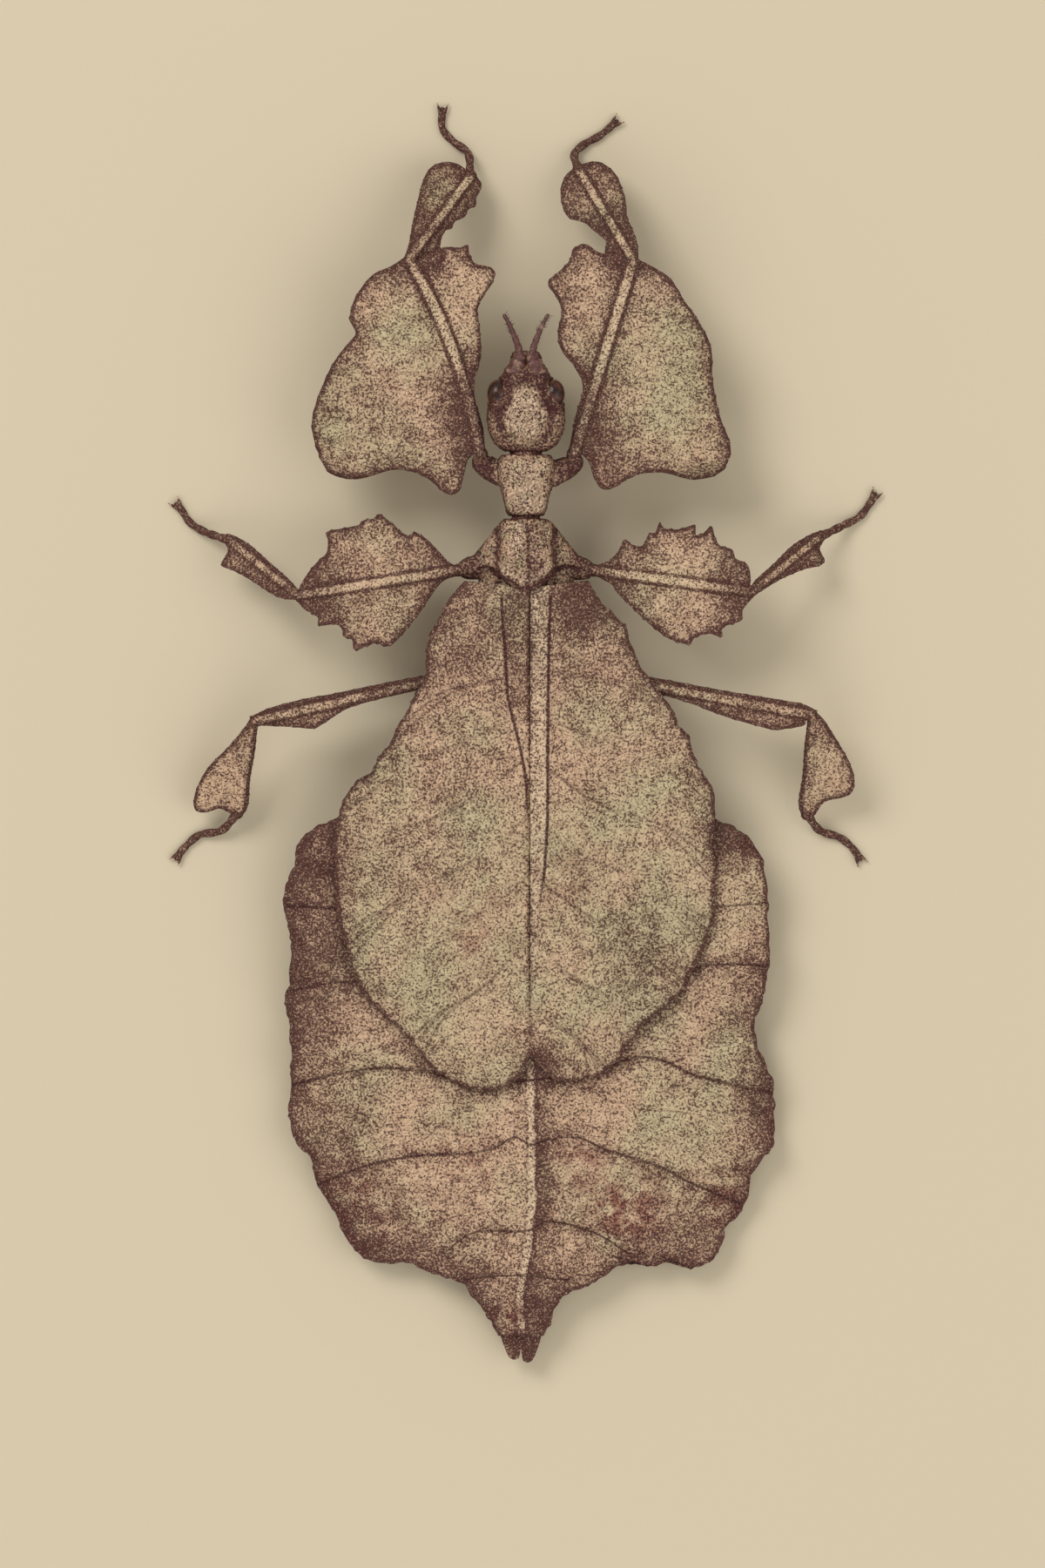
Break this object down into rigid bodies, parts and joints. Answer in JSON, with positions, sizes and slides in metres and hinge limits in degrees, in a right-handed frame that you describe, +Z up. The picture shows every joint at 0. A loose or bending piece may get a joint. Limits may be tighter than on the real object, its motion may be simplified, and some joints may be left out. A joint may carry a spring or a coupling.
{
  "type": "leaf insect",
  "caption": "Life-size leaf insect standing on a level floor, with leaf-like forewings and abdomen, lobed legs and raised wing veins; a still display model.",
  "frame": {"origin": "on the floor, below the middle of the box that holds the whole insect", "axes": "+Z up, -Y towards the head, +X towards the insect's left side"},
  "size_m": [0.0608, 0.1068, 0.0101],
  "materials": {
    "tegmen": "matt olive green, brown at the veins and edges",
    "abdomen": "matt olive and tan with maroon margins",
    "leg": "matt olive brown with dark ribs and edges",
    "body": "granular tan",
    "eye": "dark glossy brown",
    "feeler": "dark maroon brown"
  },
  "bodies": {
    "root": {"head": "body", "mouthparts": "body", "eye_left": "eye", "eye_right": "eye", "antenna_left": "feeler", "antenna_right": "feeler", "pronotum": "body", "mesothorax": "body", "metathorax": "body", "tegmen_left": "tegmen", "tegmen_right": "tegmen", "abdomen": "abdomen", "terminal_segment": "abdomen", "cercus_left": "abdomen", "cercus_right": "abdomen", "coxa_fore_left": "body", "coxa_fore_right": "body", "coxa_mid_left": "body", "coxa_mid_right": "body", "coxa_hind_left": "body", "coxa_hind_right": "body", "femur_fore_left": "leg", "femur_fore_right": "leg", "femur_mid_left": "leg", "femur_mid_right": "leg", "femur_hind_left": "leg", "femur_hind_right": "leg", "tibia_fore_left": "leg", "tibia_fore_right": "leg", "tibia_mid_left": "leg", "tibia_mid_right": "leg", "tibia_hind_left": "leg", "tibia_hind_right": "leg", "tarsus_fore_left": "feeler", "tarsus_fore_right": "feeler", "tarsus_mid_left": "feeler", "tarsus_mid_right": "feeler", "tarsus_hind_left": "feeler", "tarsus_hind_right": "feeler"}
  },
  "joints": []
}
